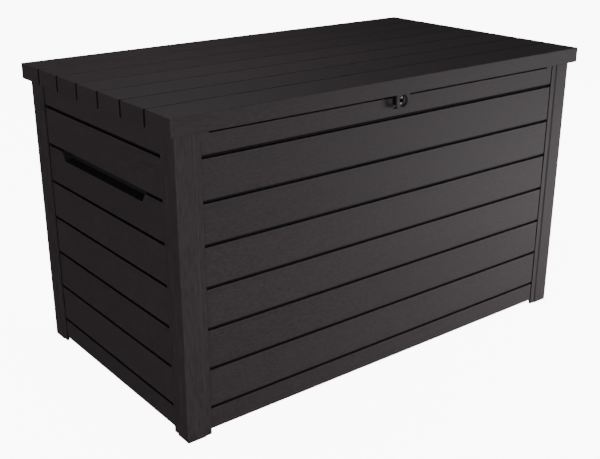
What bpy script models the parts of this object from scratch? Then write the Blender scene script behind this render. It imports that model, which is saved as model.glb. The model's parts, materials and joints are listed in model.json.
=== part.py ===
"""Deck storage box: a knock-down resin box with boarded walls, corner posts and a hinged, planked lid.

Metres, +Z up. X runs along the length, the front faces -Y, and the origin is on the ground under
the middle of the box. The lid turns on three rear hinges and is held by two gas struts.
"""
import math

import bmesh
import bpy
from mathutils import Matrix, Vector

# Overall size of the closed box
LENGTH = 1.468
DEPTH = 0.831
HEIGHT = 0.863

# Clearances
GAP = 0.0003
RUNNING = 0.0005
OVERLAP = 0.001
THROUGH = 0.02

# Lid
SKIRT_HEIGHT = 0.045
SKIRT_WALL = 0.006
DECK = 0.010
OVERHANG = 0.0175
PLANKS = 7
PLANK_GROOVE = 0.003
PLANK_GROOVE_DEPTH = 0.0025
END_SLOT = 0.0095
END_SLOT_DEPTH = 0.0045
RIB_WIDTH = 0.004
RIB_HEIGHT = 0.008
RIB_INSET = 0.194
RIBS = 10

# Steel tubes that stiffen the lid, and the clips that hold them in the third bay from the middle
TUBE_RADIUS = 0.010
TUBE_INSET = 0.104
TUBE_WALL = 0.0015
TUBE_OFFSET = 0.17
CLIP_WALL = 0.004
CLIP_WIDTH = 0.020
CLIP_BAY = 3

# Walls: height of the lower edge, thickness, and how far the boards lie behind the post faces
WALL_BOTTOM = 0.014
WALL = 0.018
BOARD_SETBACK = 0.005
GROOVES = 7
FIRST_GROOVE = 0.078
TOP_GROOVE_DROP = 0.0662
GROOVE = 0.0085
TOP_GROOVE = 0.0095
GROOVE_DEPTH = 0.008
LONG_WALL_RISE = 0.012
REBATE_HEIGHT = 0.010
REBATE_DEPTH = 0.008
REBATE_INSET = 0.023
LEDGE = 0.012
LEDGE_HEIGHT = 0.010

# Corner posts: an L of two legs, each a proud face, a sloping step and a recessed strip. The core
# fills the corner and stands in past the walls' inner faces.
POST_LEG = 0.074
POST_FACE = 0.052
POST_STEP = 0.005
POST_STRIP_SETBACK = 0.003
POST_LEG_WALL = 0.010
POST_CORE_REACH = 0.0032
POST_RADIUS = 0.003
POST_ARC_STEPS = 4

# Floor panel and its skids
FLOOR = 0.008
SKIDS = 4
SKID_WIDTH = 0.030
SKID_SPACING = 0.30
SKID_INSET = 0.065

# Handle pockets in the end walls: each one hangs from the second groove from the top
HANDLE_GROOVE = 5
HANDLE_TOP_WIDTH = 0.488
HANDLE_BOTTOM_WIDTH = 0.440
HANDLE_RISE = 0.0005
HANDLE_OPENING = 0.034
HANDLE_DEPTH = 0.026
HANDLE_FALL = 0.005
HANDLE_LIP = 0.007
HANDLE_HOOK = 0.010
HOUSING_WALL = 0.006

# Lock: the tab on the lid, its oval hole, and the eye in the front wall
LOCK_X = -0.013
TAB_WIDTH = 0.050
TAB_DROP = 0.039
TAB_THICKNESS = 0.005
TAB_SETBACK = 0.0005
TAB_RADIUS = 0.014
TAB_HOLE_WIDTH = 0.024
TAB_HOLE_HEIGHT = 0.028
TAB_HOLE_DROP = 0.018
LOCK_POCKET_WIDTH = 0.030
LOCK_POCKET_DROP = 0.024
LOCK_POCKET_DEPTH = 0.008
EYE_WIDTH = 0.020
EYE_HEIGHT = 0.028
EYE_PLATE = 0.004
EYE_LEG = 0.003
EYE_HOLE_RADIUS = 0.006
EYE_TO_TAB = 0.003
EYE_ROOT = 0.005

# Rear hinges
HINGE_OFFSET = 0.48
HINGE_DROP = 0.009
HINGE_INSET = 0.009
HINGE_WIDTH = 0.060
HINGE_LID_KNUCKLE = 0.028
KNUCKLE_RADIUS = 0.007
PIN_RADIUS = 0.0025
PIN_HEAD_RADIUS = 0.004
PIN_HEAD = 0.0015
LEAF = 0.003
BODY_LEAF_DROP = 0.008
BODY_LEAF_HEIGHT = 0.040
LID_LEAF_HEIGHT = 0.032
LID_LEAF_SCREW_RISE = 0.022
HINGE_SCREW_SPREAD = 0.020
LID_OPENING = math.radians(90)

# Gas struts: where each one is pivoted, measured from the hinge axis
STRUT_SETBACK = 0.020
STRUT_FOOT_FORWARD = 0.065
STRUT_FOOT_DROP = 0.060
STRUT_REACH = 0.300
STRUT_HEAD_RISE = 0.013
STRUT_TUBE_RADIUS = 0.0075
STRUT_TUBE_WALL = 0.0012
STRUT_ROD_RADIUS = 0.003
STRUT_NECK_RADIUS = 0.0045
STRUT_NECK = 0.012
STRUT_PLUG = 0.024
STRUT_EYE_RADIUS = 0.008
STRUT_EYE_WIDTH = 0.010
STRUT_PIN_RADIUS = 0.004
STRUT_PIN_HEAD_RADIUS = 0.006
STRUT_PIN_HEAD = 0.002
STRUT_ROD_OVERLAP = 0.045
STUD_FLANGE_RADIUS = 0.007
STUD_FLANGE = 0.0015
HEAD_BRACKET_CLEARANCE = 0.005
BRACKET_PLATE = 0.003
FOOT_BRACKET_WIDTH = 0.044
FOOT_BRACKET_HEIGHT = 0.026
HEAD_BRACKET_WIDTH = 0.040
HEAD_BRACKET_FLANGE = 0.032
HEAD_BRACKET_DROP = 0.011
FOOT_SCREW_SPREAD = 0.015
HEAD_SCREW_SPREAD = 0.012

# Pan-head screws
SCREW_RADIUS = 0.0018
SCREW_LENGTH = 0.0068
SCREW_HEAD_RADIUS = 0.0038
SCREW_HEAD = 0.0024
SCREW_CROWN_RADIUS = 0.0027
SCREW_CROWN = 0.0004
SCREW_SHOULDER = 0.0014
SCREW_CLEARANCE = 0.0003

# How finely round shapes are drawn, and the angle above which an edge stays sharp
ROUND_STEPS = 24
SMALL_STEPS = 12
TAB_ARC_STEPS = 6
SHARP_ANGLE = math.radians(35)

# Colour, roughness and metallic value of each finish
FINISHES = {
    "resin": ((0.030, 0.025, 0.026), 0.55, 0.0),
    "steel": ((0.45, 0.45, 0.46), 0.35, 1.0),
    "black_steel": ((0.025, 0.025, 0.027), 0.40, 0.6),
}

# Places worked out from the sizes above
BODY_LENGTH = LENGTH - 2 * OVERHANG
BODY_DEPTH = DEPTH - 2 * OVERHANG
SKIRT_BOTTOM = HEIGHT - SKIRT_HEIGHT
GROOVE_PITCH = (SKIRT_BOTTOM - TOP_GROOVE_DROP - FIRST_GROOVE) / (GROOVES - 1)
DECK_UNDERSIDE = HEIGHT - DECK
POST_TOP = DECK_UNDERSIDE - GAP
LONG_WALL_TOP = SKIRT_BOTTOM + LONG_WALL_RISE
WALL_INNER = BOARD_SETBACK + WALL
POST_CORE = WALL_INNER + POST_CORE_REACH
INNER_X = BODY_LENGTH / 2 - WALL_INNER
INNER_Y = BODY_DEPTH / 2 - WALL_INNER
FLOOR_BOTTOM = WALL_BOTTOM + LEDGE_HEIGHT + GAP
HINGE_Y = DEPTH / 2 - HINGE_INSET
HINGE_Z = SKIRT_BOTTOM - HINGE_DROP
HINGE_AXIS = Vector((0, HINGE_Y, HINGE_Z))
BODY_LEAF_TOP = HINGE_Z - BODY_LEAF_DROP
BODY_LEAF_BOTTOM = BODY_LEAF_TOP - BODY_LEAF_HEIGHT
HINGE_PLACES = {"left": -HINGE_OFFSET, "middle": 0.0, "right": HINGE_OFFSET}
LOCK_Z = SKIRT_BOTTOM - TAB_HOLE_DROP
RIB_SPACING = (LENGTH - 2 * RIB_INSET) / (RIBS - 1)
TUBE_LENGTH = LENGTH - 2 * TUBE_INSET
CLIP_OFFSET = CLIP_BAY * RIB_SPACING
TUBE_Z = DECK_UNDERSIDE - RIB_HEIGHT - GAP - TUBE_RADIUS
SIDES = {"left": -1, "right": 1}
STRUT_X = INNER_X - STRUT_SETBACK
STRUT_FOOT = Vector((0, HINGE_Y - STRUT_FOOT_FORWARD, HINGE_Z - STRUT_FOOT_DROP))
STRUT_HEAD = Vector((0, HINGE_Y - STRUT_REACH, HINGE_Z + STRUT_HEAD_RISE))
STRUT_LENGTH = (STRUT_HEAD - STRUT_FOOT).length
STRUT_HEAD_OPEN = Matrix.Rotation(-LID_OPENING, 3, "X") @ (STRUT_HEAD - HINGE_AXIS) + HINGE_AXIS
STRUT_STROKE = (STRUT_HEAD_OPEN - STRUT_FOOT).length - STRUT_LENGTH


# Drawing in a mesh

def add_box(mesh, low, high):
    """Add a block between two opposite corners."""
    low, high = Vector(low), Vector(high)
    size = Matrix.Diagonal((*(high - low), 1))
    bmesh.ops.create_cube(mesh, size=1, matrix=Matrix.Translation((low + high) / 2) @ size)


def add_prism(mesh, outline, axis, start, end):
    """Add a prism: a flat outline drawn across an axis, and extruded along it."""
    across = [number for number in range(3) if number != "XYZ".index(axis)]
    corners = []
    for first, second in outline:
        point = Vector((start, start, start))
        point[across[0]] = first
        point[across[1]] = second
        corners.append(mesh.verts.new(point))
    face = mesh.faces.new(corners)
    grown = bmesh.ops.extrude_face_region(mesh, geom=[face])["geom"]
    moved = [item for item in grown if isinstance(item, bmesh.types.BMVert)]
    run = Vector((0, 0, 0))
    run["XYZ".index(axis)] = end - start
    bmesh.ops.translate(mesh, verts=moved, vec=run)


def add_rod(mesh, start, end, radius, steps=ROUND_STEPS):
    """Add a round bar between two points."""
    start, end = Vector(start), Vector(end)
    turn = (end - start).to_track_quat("Z", "Y").to_matrix().to_4x4()
    place = Matrix.Translation((start + end) / 2) @ turn
    bmesh.ops.create_cone(mesh, cap_ends=True, segments=steps, radius1=radius, radius2=radius,
                          depth=(end - start).length, matrix=place)


def add_turned(mesh, profile, place, steps=ROUND_STEPS):
    """Add a turned shape: a profile of (radius, height) points spun about Z, then moved into place."""
    points = [mesh.verts.new((radius, 0, height)) for radius, height in profile]
    edges = [mesh.edges.new(pair) for pair in zip(points, points[1:])]
    bmesh.ops.spin(mesh, geom=points + edges, axis=(0, 0, 1), cent=(0, 0, 0),
                   angle=math.tau, steps=steps, use_merge=True)
    bmesh.ops.remove_doubles(mesh, verts=mesh.verts, dist=0.00001)
    bmesh.ops.transform(mesh, matrix=place, verts=mesh.verts)


def arc(centre, radius, start, end, steps):
    """Points along an arc, angles in degrees."""
    angles = [math.radians(start + (end - start) * step / steps) for step in range(steps + 1)]
    return [(centre[0] + radius * math.cos(a), centre[1] + radius * math.sin(a)) for a in angles]


def facing(direction, point):
    """A placement whose Z axis looks along a direction, at a point."""
    return Matrix.Translation(point) @ Vector(direction).to_track_quat("Z", "Y").to_matrix().to_4x4()


# Objects, frames and materials

def clear_scene():
    for item in list(bpy.data.objects):
        bpy.data.objects.remove(item, do_unlink=True)


def new_frame(name, location=(0, 0, 0), turn=(0, 0, 0), parent=None):
    """An empty that carries pieces: the box itself, or a joint."""
    frame = bpy.data.objects.new(name, None)
    frame.location = location
    frame.rotation_euler = turn
    frame.parent = parent
    bpy.context.scene.collection.objects.link(frame)
    return frame


def new_material(name, finish):
    colour, roughness, metallic = FINISHES[finish]
    material = bpy.data.materials.new(name + "_" + finish)
    material.use_nodes = True
    shader = material.node_tree.nodes["Principled BSDF"]
    shader.inputs["Base Color"].default_value = (*colour, 1)
    shader.inputs["Roughness"].default_value = roughness
    shader.inputs["Metallic"].default_value = metallic
    return material


def new_object(name, mesh, frame, origin):
    """Turn a drawn mesh into an object of a frame. origin is the drawing's point at the frame's origin."""
    bmesh.ops.translate(mesh, verts=mesh.verts, vec=-Vector(origin))
    bmesh.ops.recalc_face_normals(mesh, faces=mesh.faces)
    data = bpy.data.meshes.new(name)
    mesh.to_mesh(data)
    mesh.free()
    item = bpy.data.objects.new(name, data)
    item.parent = frame
    bpy.context.scene.collection.objects.link(item)
    return item


def new_piece(name, mesh, finish, frame, origin=(0, 0, 0), smooth=False):
    """A sub-part of the box, with its own material."""
    piece = new_object(name, mesh, frame, origin)
    piece.data.materials.append(new_material(name, finish))
    if smooth:
        piece.data.shade_smooth()
        piece.data.set_sharp_from_angle(angle=SHARP_ANGLE)
    return piece


def combine(piece, mesh, operation, origin=(0, 0, 0)):
    """Join a drawn shape to a piece, or cut it away, with a Boolean in the piece's own frame."""
    name = piece.name + "_" + operation.lower() + str(len(piece.modifiers))
    tool = new_object(name, mesh, piece.parent, origin)
    tool.location = piece.location
    tool.rotation_euler = piece.rotation_euler
    tool.hide_render = True
    tool.display_type = "WIRE"
    modifier = piece.modifiers.new(name, "BOOLEAN")
    modifier.operation = operation
    modifier.object = tool


# Screws

def add_screw_holes(mesh, heads, direction, depth):
    """Clearance holes for screws driven along a direction from each head's seat."""
    for head in heads:
        start = Vector(head) - Vector(direction) * OVERLAP
        end = Vector(head) + Vector(direction) * depth
        add_rod(mesh, start, end, SCREW_RADIUS + SCREW_CLEARANCE, SMALL_STEPS)


def make_screw(name, head, direction, frame, origin=(0, 0, 0)):
    """A pan-head screw whose head seats at a point and whose shank runs along a direction."""
    mesh = bmesh.new()
    crown = SCREW_CROWN - SCREW_HEAD
    shoulder = SCREW_SHOULDER - SCREW_HEAD
    profile = [(0, -SCREW_HEAD), (SCREW_CROWN_RADIUS, crown), (SCREW_HEAD_RADIUS, shoulder),
               (SCREW_HEAD_RADIUS, -GAP), (SCREW_RADIUS, -GAP), (SCREW_RADIUS, SCREW_LENGTH),
               (0, SCREW_LENGTH)]
    add_turned(mesh, profile, facing(direction, head), SMALL_STEPS)
    new_piece(name, mesh, "steel", frame, origin, smooth=True)


# Floor

def notched_outline(half_x, half_y, notch_x, notch_y):
    """A rectangle with a square notch at each corner."""
    quarter = [(half_x, notch_y), (notch_x, notch_y), (notch_x, half_y)]
    mirrored = [(-x, y) for x, y in reversed(quarter)]
    rear_half = quarter + mirrored
    return rear_half + [(-x, -y) for x, y in rear_half]


def make_floor(frame):
    """The floor panel, resting on the walls' ledges and on skids that reach the ground."""
    mesh = bmesh.new()
    notch_x = BODY_LENGTH / 2 - POST_CORE - GAP
    notch_y = BODY_DEPTH / 2 - POST_CORE - GAP
    outline = notched_outline(INNER_X - GAP, INNER_Y - GAP, notch_x, notch_y)
    add_prism(mesh, outline, "Z", FLOOR_BOTTOM, FLOOR_BOTTOM + FLOOR)
    floor = new_piece("floor_panel", mesh, "resin", frame)
    skids = bmesh.new()
    for number in range(SKIDS):
        centre = (number - (SKIDS - 1) / 2) * SKID_SPACING
        half_run = BODY_DEPTH / 2 - SKID_INSET
        add_box(skids, (centre - SKID_WIDTH / 2, -half_run, 0),
                (centre + SKID_WIDTH / 2, half_run, FLOOR_BOTTOM + OVERLAP))
    combine(floor, skids, "UNION")


# Walls. Each one is drawn as the front wall is: along X, facing -Y, with the post faces at y = 0.

def groove_heights():
    return [FIRST_GROOVE + GROOVE_PITCH * number for number in range(GROOVES)]


def wall_blank(name, run, top, frame, place, turn):
    """A wall without its cuts: boards between the posts, a tongue behind each post, and the floor ledge.

    run is the body's size along the wall.
    """
    boards = run / 2 - POST_LEG - GAP
    tongue = run / 2 - POST_CORE - GAP
    tongue_front = POST_LEG_WALL + GAP
    right_half = [(boards, BOARD_SETBACK), (boards, tongue_front), (tongue, tongue_front),
                  (tongue, WALL_INNER)]
    outline = right_half + [(-x, y) for x, y in reversed(right_half)]
    mesh = bmesh.new()
    add_prism(mesh, outline, "Z", WALL_BOTTOM, top)
    wall = new_piece(name, mesh, "resin", frame)
    wall.location = place
    wall.rotation_euler = (0, 0, turn)
    ledge = bmesh.new()
    add_box(ledge, (-boards, WALL_INNER - OVERLAP, WALL_BOTTOM),
            (boards, WALL_INNER + LEDGE, WALL_BOTTOM + LEDGE_HEIGHT))
    combine(wall, ledge, "UNION")
    return wall, boards


def add_grooves(mesh, boards):
    """The dark grooves between the boards; the top one is wider."""
    for height in groove_heights():
        width = TOP_GROOVE if height == groove_heights()[-1] else GROOVE
        add_box(mesh, (-boards - GAP / 2, -THROUGH, height - width / 2),
                (boards + GAP / 2, BOARD_SETBACK + GROOVE_DEPTH, height + width / 2))


def make_long_wall(name, frame, place, turn):
    """The front or rear wall, with the rebate under the lid's skirt."""
    wall, boards = wall_blank(name, BODY_LENGTH, LONG_WALL_TOP, frame, place, turn)
    cuts = bmesh.new()
    add_grooves(cuts, boards)
    rebate = boards - REBATE_INSET
    add_box(cuts, (-rebate, -THROUGH, SKIRT_BOTTOM - REBATE_HEIGHT),
            (rebate, BOARD_SETBACK + REBATE_DEPTH, LONG_WALL_TOP + OVERLAP))
    combine(wall, cuts, "DIFFERENCE")
    return wall


def make_front_wall(frame):
    """The front wall, with the pocket behind the lock and the slots for the eye's legs."""
    wall = make_long_wall("front_wall", frame, (0, -BODY_DEPTH / 2, 0), 0)
    cuts = bmesh.new()
    pocket_floor = BOARD_SETBACK + LOCK_POCKET_DEPTH
    add_box(cuts, (LOCK_X - LOCK_POCKET_WIDTH / 2, -THROUGH, LOCK_Z - LOCK_POCKET_DROP),
            (LOCK_X + LOCK_POCKET_WIDTH / 2, pocket_floor, LONG_WALL_TOP + THROUGH))
    combine(wall, cuts, "DIFFERENCE")
    slots = bmesh.new()
    for side in SIDES.values():
        outer = LOCK_X + side * (EYE_WIDTH / 2 + GAP)
        inner = LOCK_X + side * (EYE_WIDTH / 2 - EYE_LEG - GAP)
        add_box(slots, (min(outer, inner), pocket_floor - OVERLAP, LOCK_Z - EYE_HEIGHT / 2 - GAP),
                (max(outer, inner), pocket_floor + EYE_ROOT, LOCK_Z + EYE_HEIGHT / 2 + GAP))
    combine(wall, slots, "DIFFERENCE")


def hinge_screw_places(centre):
    """Where the body leaf's two screws stand along the hinge and in height."""
    height = (BODY_LEAF_BOTTOM + BODY_LEAF_TOP) / 2
    return [(centre - HINGE_SCREW_SPREAD, height), (centre + HINGE_SCREW_SPREAD, height)]


def make_rear_wall(frame):
    """The rear wall, with holes for the screws of the hinges' body leaves."""
    wall = make_long_wall("rear_wall", frame, (0, BODY_DEPTH / 2, 0), math.pi)
    cuts = bmesh.new()
    for centre in HINGE_PLACES.values():
        heads = [(x, BOARD_SETBACK, z) for x, z in hinge_screw_places(-centre)]
        add_screw_holes(cuts, heads, (0, 1, 0), SCREW_LENGTH)
    combine(wall, cuts, "DIFFERENCE")


def handle_outline():
    """The handle pocket across the wall, as (depth, height) points: it rises behind the board above it."""
    top = groove_heights()[HANDLE_GROOVE] + GROOVE / 2 + HANDLE_RISE
    bottom = top - HANDLE_OPENING
    face = BOARD_SETBACK
    back = face + HANDLE_DEPTH
    return [(-THROUGH, bottom), (face, bottom), (back, bottom + HANDLE_FALL), (back, top + HANDLE_HOOK),
            (face + HANDLE_LIP, top + HANDLE_HOOK), (face + HANDLE_LIP, top), (-THROUGH, top)]


def handle_width(height):
    """The pocket's width at a height: its ends slope outwards all the way up."""
    bottom = min(low for depth, low in handle_outline())
    rise = (height - bottom) / HANDLE_OPENING
    return HANDLE_BOTTOM_WIDTH + (HANDLE_TOP_WIDTH - HANDLE_BOTTOM_WIDTH) * rise


def add_handle_pocket(mesh):
    """The pocket's cutter."""
    add_prism(mesh, handle_outline(), "X", -1, 1)
    for vertex in mesh.verts:
        vertex.co.x = math.copysign(handle_width(vertex.co.z) / 2, vertex.co.x)


def make_end_wall(name, side, frame):
    """An end wall, with its handle pocket, the pocket's housing inside, and the strut's screw holes."""
    place = (side * BODY_LENGTH / 2, 0, 0)
    wall, boards = wall_blank(name, BODY_DEPTH, POST_TOP, frame, place, side * math.pi / 2)
    outline = handle_outline()
    heights = [height for depth, height in outline]
    housing = bmesh.new()
    half_width = handle_width(max(heights)) / 2 + HOUSING_WALL
    add_box(housing, (-half_width, WALL_INNER - OVERLAP, min(heights) - HOUSING_WALL),
            (half_width, BOARD_SETBACK + HANDLE_DEPTH + HOUSING_WALL, max(heights) + HOUSING_WALL))
    combine(wall, housing, "UNION")
    grooves = bmesh.new()
    add_grooves(grooves, boards)
    combine(wall, grooves, "DIFFERENCE")
    pocket = bmesh.new()
    add_handle_pocket(pocket)
    combine(wall, pocket, "DIFFERENCE")
    holes = bmesh.new()
    heads = [(side * y, WALL_INNER, z) for y, z in foot_screw_places()]
    add_screw_holes(holes, heads, (0, -1, 0), SCREW_LENGTH)
    combine(wall, holes, "DIFFERENCE")


# Posts

def post_outline():
    """The post's section, from its rounded outer corner, with legs along +X and +Y."""
    leg = [(POST_FACE, 0), (POST_FACE + POST_STEP, POST_STRIP_SETBACK), (POST_LEG, POST_STRIP_SETBACK),
           (POST_LEG, POST_LEG_WALL), (POST_CORE, POST_LEG_WALL), (POST_CORE, POST_CORE)]
    other_leg = [(y, x) for x, y in reversed(leg[:-1])]
    corner = arc((POST_RADIUS, POST_RADIUS), POST_RADIUS, 180, 270, POST_ARC_STEPS)
    return corner + leg + other_leg


def make_post(name, x_side, y_side, turn, frame):
    """A corner post: it stands on the ground and rises into the lid."""
    mesh = bmesh.new()
    add_prism(mesh, post_outline(), "Z", 0, POST_TOP)
    post = new_piece(name, mesh, "resin", frame)
    post.location = (x_side * BODY_LENGTH / 2, y_side * BODY_DEPTH / 2, 0)
    post.rotation_euler = (0, 0, turn)


# Lock eye

def make_lock_eye(frame):
    """The U-shaped eye behind the lid's tab; its legs stand in the front wall."""
    front = -DEPTH / 2 + TAB_SETBACK + TAB_THICKNESS + EYE_TO_TAB
    back = -BODY_DEPTH / 2 + BOARD_SETBACK + LOCK_POCKET_DEPTH + EYE_ROOT - GAP
    half = EYE_WIDTH / 2
    inside = half - EYE_LEG
    outline = [(-half, front), (half, front), (half, back), (inside, back), (inside, front + EYE_PLATE),
               (-inside, front + EYE_PLATE), (-inside, back), (-half, back)]
    outline = [(LOCK_X + x, y) for x, y in outline]
    mesh = bmesh.new()
    add_prism(mesh, outline, "Z", LOCK_Z - EYE_HEIGHT / 2, LOCK_Z + EYE_HEIGHT / 2)
    eye = new_piece("lock_eye", mesh, "resin", frame)
    hole = bmesh.new()
    hole_end = front + EYE_PLATE + OVERLAP
    add_rod(hole, (LOCK_X, front - THROUGH, LOCK_Z), (LOCK_X, hole_end, LOCK_Z), EYE_HOLE_RADIUS)
    combine(eye, hole, "DIFFERENCE")


# Lid. Its pieces are drawn where they lie on the closed box, and hang on the hinge axis.

def add_lid_shell(mesh):
    """A block whose underside is inset and pushed up to leave the deck and the skirt."""
    add_box(mesh, (-LENGTH / 2, -DEPTH / 2, SKIRT_BOTTOM), (LENGTH / 2, DEPTH / 2, HEIGHT))
    mesh.faces.ensure_lookup_table()
    underside = min(mesh.faces, key=lambda face: face.calc_center_median().z)
    bmesh.ops.inset_region(mesh, faces=[underside], thickness=SKIRT_WALL, use_even_offset=True)
    grown = bmesh.ops.extrude_face_region(mesh, geom=[underside])["geom"]
    roof = [item for item in grown if isinstance(item, bmesh.types.BMVert)]
    bmesh.ops.translate(mesh, verts=roof, vec=(0, 0, DECK_UNDERSIDE - SKIRT_BOTTOM))
    bmesh.ops.delete(mesh, geom=[face for face in [underside] if face.is_valid], context="FACES_ONLY")


def tab_outline():
    """The lock tab with its round lower corners, as (x, z) points."""
    left, right = LOCK_X - TAB_WIDTH / 2, LOCK_X + TAB_WIDTH / 2
    bottom = SKIRT_BOTTOM - TAB_DROP
    height = bottom + TAB_RADIUS
    low_right = arc((right - TAB_RADIUS, height), TAB_RADIUS, 0, -90, TAB_ARC_STEPS)
    low_left = arc((left + TAB_RADIUS, height), TAB_RADIUS, -90, -180, TAB_ARC_STEPS)
    return [(left, SKIRT_BOTTOM + OVERLAP), (right, SKIRT_BOTTOM + OVERLAP)] + low_right + low_left


def tab_hole_outline():
    """The tab's upright oval hole."""
    return [(LOCK_X + TAB_HOLE_WIDTH / 2 * x, LOCK_Z + TAB_HOLE_HEIGHT / 2 * z)
            for x, z in arc((0, 0), 1, 0, 360, ROUND_STEPS)[:-1]]


def rib_places():
    return [(number - (RIBS - 1) / 2) * RIB_SPACING for number in range(RIBS)]


def plank_joints():
    """Where the lid's planks meet, across the depth."""
    return [DEPTH * (number / PLANKS - 0.5) for number in range(1, PLANKS)]


def add_lid_extras(mesh):
    """The ribs under the deck, from skirt to skirt, and the lock tab under the front skirt."""
    reach = DEPTH / 2 - SKIRT_WALL + OVERLAP
    for place in rib_places():
        add_box(mesh, (place - RIB_WIDTH / 2, -reach, DECK_UNDERSIDE - RIB_HEIGHT),
                (place + RIB_WIDTH / 2, reach, DECK_UNDERSIDE + OVERLAP))
    front = -DEPTH / 2 + TAB_SETBACK
    add_prism(mesh, tab_outline(), "Y", front, front + TAB_THICKNESS)


def add_lid_cuts(mesh):
    """The grooves between the planks, the slot at each groove's ends, and the tab's hole."""
    for place in plank_joints():
        groove_end = LENGTH / 2 - END_SLOT_DEPTH + OVERLAP
        add_box(mesh, (-groove_end, place - PLANK_GROOVE / 2, HEIGHT - PLANK_GROOVE_DEPTH),
                (groove_end, place + PLANK_GROOVE / 2, HEIGHT + THROUGH))
    front = -DEPTH / 2
    add_prism(mesh, tab_hole_outline(), "Y", front - THROUGH, front + SKIRT_WALL + OVERLAP)


def add_end_slots(mesh):
    for place in plank_joints():
        for side in SIDES.values():
            inner, outer = side * (LENGTH / 2 - END_SLOT_DEPTH), side * (LENGTH / 2 + THROUGH)
            add_box(mesh, (min(inner, outer), place - END_SLOT / 2, SKIRT_BOTTOM - THROUGH),
                    (max(inner, outer), place + END_SLOT / 2, HEIGHT + THROUGH / 2))


def lid_leaf_screw_heads(centre):
    """The seats of the lid leaf's two screws, on the leaf's inner face."""
    y = DEPTH / 2 - SKIRT_WALL - GAP - LEAF
    z = HINGE_Z + LID_LEAF_SCREW_RISE
    return [(centre - HINGE_SCREW_SPREAD, y, z), (centre + HINGE_SCREW_SPREAD, y, z)]


def head_screw_seats(side):
    """The seats of a head bracket's two screws, under its flange."""
    x = side * (STRUT_X - STRUT_EYE_WIDTH / 2 - SCREW_HEAD_RADIUS)
    z = DECK_UNDERSIDE - GAP - BRACKET_PLATE
    return [(x, STRUT_HEAD.y - HEAD_SCREW_SPREAD, z), (x, STRUT_HEAD.y + HEAD_SCREW_SPREAD, z)]


def make_lid(frame):
    """The lid: a planked deck with a skirt round it."""
    mesh = bmesh.new()
    add_lid_shell(mesh)
    lid = new_piece("lid", mesh, "resin", frame, HINGE_AXIS)
    steps = ((add_lid_extras, "UNION"), (add_lid_cuts, "DIFFERENCE"), (add_end_slots, "DIFFERENCE"))
    for draw, operation in steps:
        tool = bmesh.new()
        draw(tool)
        combine(lid, tool, operation, HINGE_AXIS)
    holes = bmesh.new()
    for centre in HINGE_PLACES.values():
        add_screw_holes(holes, lid_leaf_screw_heads(centre), (0, 1, 0), SCREW_LENGTH + GAP)
    for side in SIDES.values():
        add_screw_holes(holes, head_screw_seats(side), (0, 0, 1), SCREW_LENGTH + GAP)
    combine(lid, holes, "DIFFERENCE", HINGE_AXIS)


def make_tube(name, y, frame):
    """A steel tube along the lid, under the ribs."""
    mesh = bmesh.new()
    inside = TUBE_RADIUS - TUBE_WALL
    half = TUBE_LENGTH / 2
    profile = [(TUBE_RADIUS, half), (TUBE_RADIUS, -half), (inside, -half), (inside, half),
               (TUBE_RADIUS, half)]
    add_turned(mesh, profile, facing((1, 0, 0), (0, y, TUBE_Z)))
    new_piece(name, mesh, "black_steel", frame, HINGE_AXIS, smooth=True)


def make_tube_clip(name, x, y, frame):
    """A saddle that holds a tube up against the ribs."""
    reach = TUBE_RADIUS + RUNNING + CLIP_WALL
    mesh = bmesh.new()
    add_box(mesh, (x - CLIP_WIDTH / 2, y - reach, TUBE_Z - reach),
            (x + CLIP_WIDTH / 2, y + reach, DECK_UNDERSIDE - GAP))
    clip = new_piece(name, mesh, "resin", frame, HINGE_AXIS)
    bore = bmesh.new()
    add_rod(bore, (x - CLIP_WIDTH, y, TUBE_Z), (x + CLIP_WIDTH, y, TUBE_Z), TUBE_RADIUS + GAP)
    combine(clip, bore, "DIFFERENCE", HINGE_AXIS)


# Hinges

def add_pin_bore(mesh, centre):
    half = HINGE_WIDTH / 2 + OVERLAP
    start = (centre - half, HINGE_Y, HINGE_Z)
    add_rod(mesh, start, (centre + half, HINGE_Y, HINGE_Z), PIN_RADIUS + GAP, SMALL_STEPS)


def make_body_leaf(name, centre, frame):
    """The leaf screwed to the rear wall, with a knuckle at each end."""
    face = BODY_DEPTH / 2 - BOARD_SETBACK + GAP
    half = HINGE_WIDTH / 2
    mesh = bmesh.new()
    add_box(mesh, (centre - half, face, BODY_LEAF_BOTTOM), (centre + half, face + LEAF, BODY_LEAF_TOP))
    leaf = new_piece(name, mesh, "resin", frame)
    inner = HINGE_LID_KNUCKLE / 2 + RUNNING
    webs, knuckles = bmesh.new(), bmesh.new()
    for side in SIDES.values():
        ends = sorted((centre + side * inner, centre + side * half))
        add_box(webs, (ends[0], face, BODY_LEAF_TOP - KNUCKLE_RADIUS), (ends[1], HINGE_Y, HINGE_Z))
        add_rod(knuckles, (ends[0], HINGE_Y, HINGE_Z), (ends[1], HINGE_Y, HINGE_Z), KNUCKLE_RADIUS)
    combine(leaf, webs, "UNION")
    combine(leaf, knuckles, "UNION")
    heads = [(x, face + LEAF, z) for x, z in hinge_screw_places(centre)]
    bore = bmesh.new()
    add_pin_bore(bore, centre)
    add_screw_holes(bore, heads, (0, -1, 0), LEAF + OVERLAP)
    combine(leaf, bore, "DIFFERENCE")
    for end, head in zip(SIDES, heads):
        make_screw(name + "_screw_" + end, head, (0, -1, 0), frame)


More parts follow.
